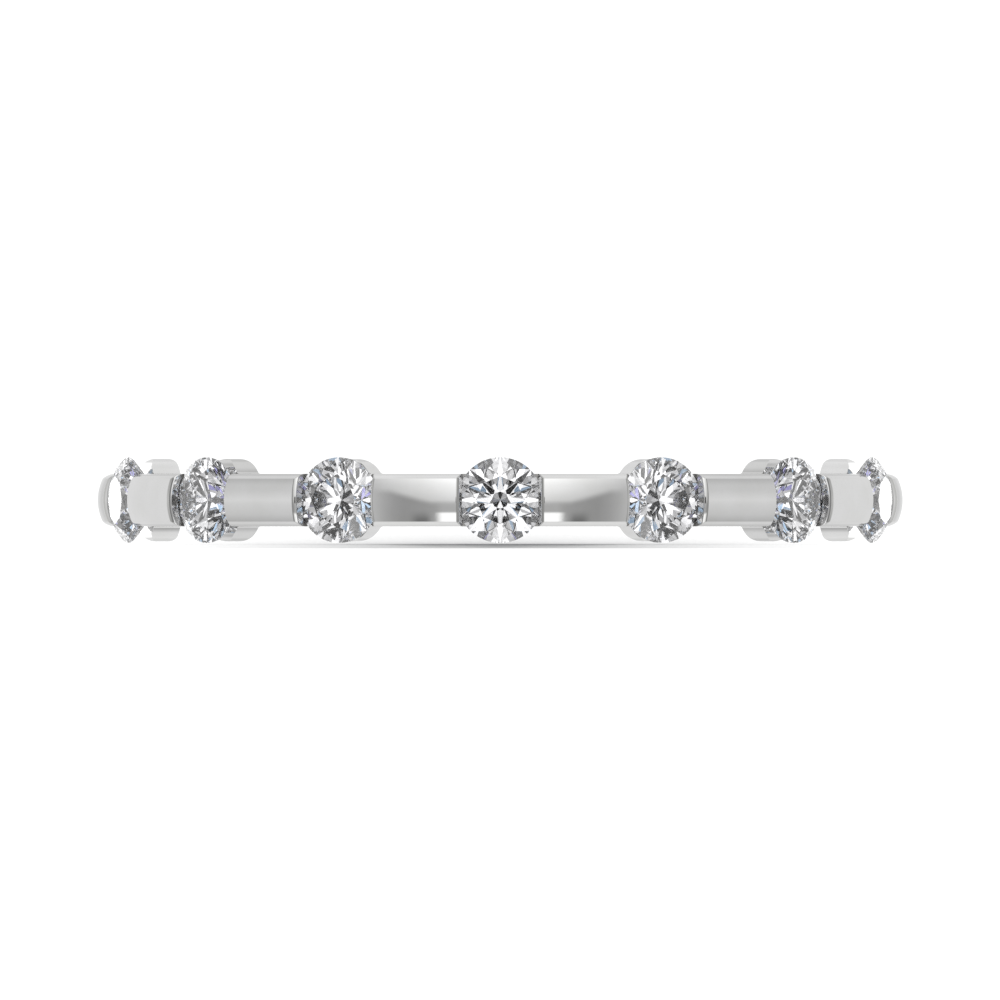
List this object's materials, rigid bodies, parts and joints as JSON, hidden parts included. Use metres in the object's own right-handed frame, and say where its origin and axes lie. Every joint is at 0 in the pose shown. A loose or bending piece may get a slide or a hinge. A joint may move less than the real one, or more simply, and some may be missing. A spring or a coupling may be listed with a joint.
{
  "type": "stackable diamond band",
  "caption": "Slim domed finger ring whose front half carries round brilliant cut stones, each held between two bars over a rounded shelf.",
  "frame": {"origin": "centre of the finger hole, half way across the band", "axes": "+Z along the finger, -Y towards the middle stone, +X towards the highest numbered stone"},
  "size_m": [0.0204, 0.0204, 0.0022],
  "materials": {
    "white_gold": "mirror polished, rhodium plated",
    "diamond": "cut and polished facets"
  },
  "bodies": {
    "root": {"band": "white_gold", "diamond_1": "diamond", "diamond_2": "diamond", "diamond_3": "diamond", "diamond_4": "diamond", "diamond_5": "diamond", "diamond_6": "diamond", "diamond_7": "diamond"}
  },
  "joints": []
}
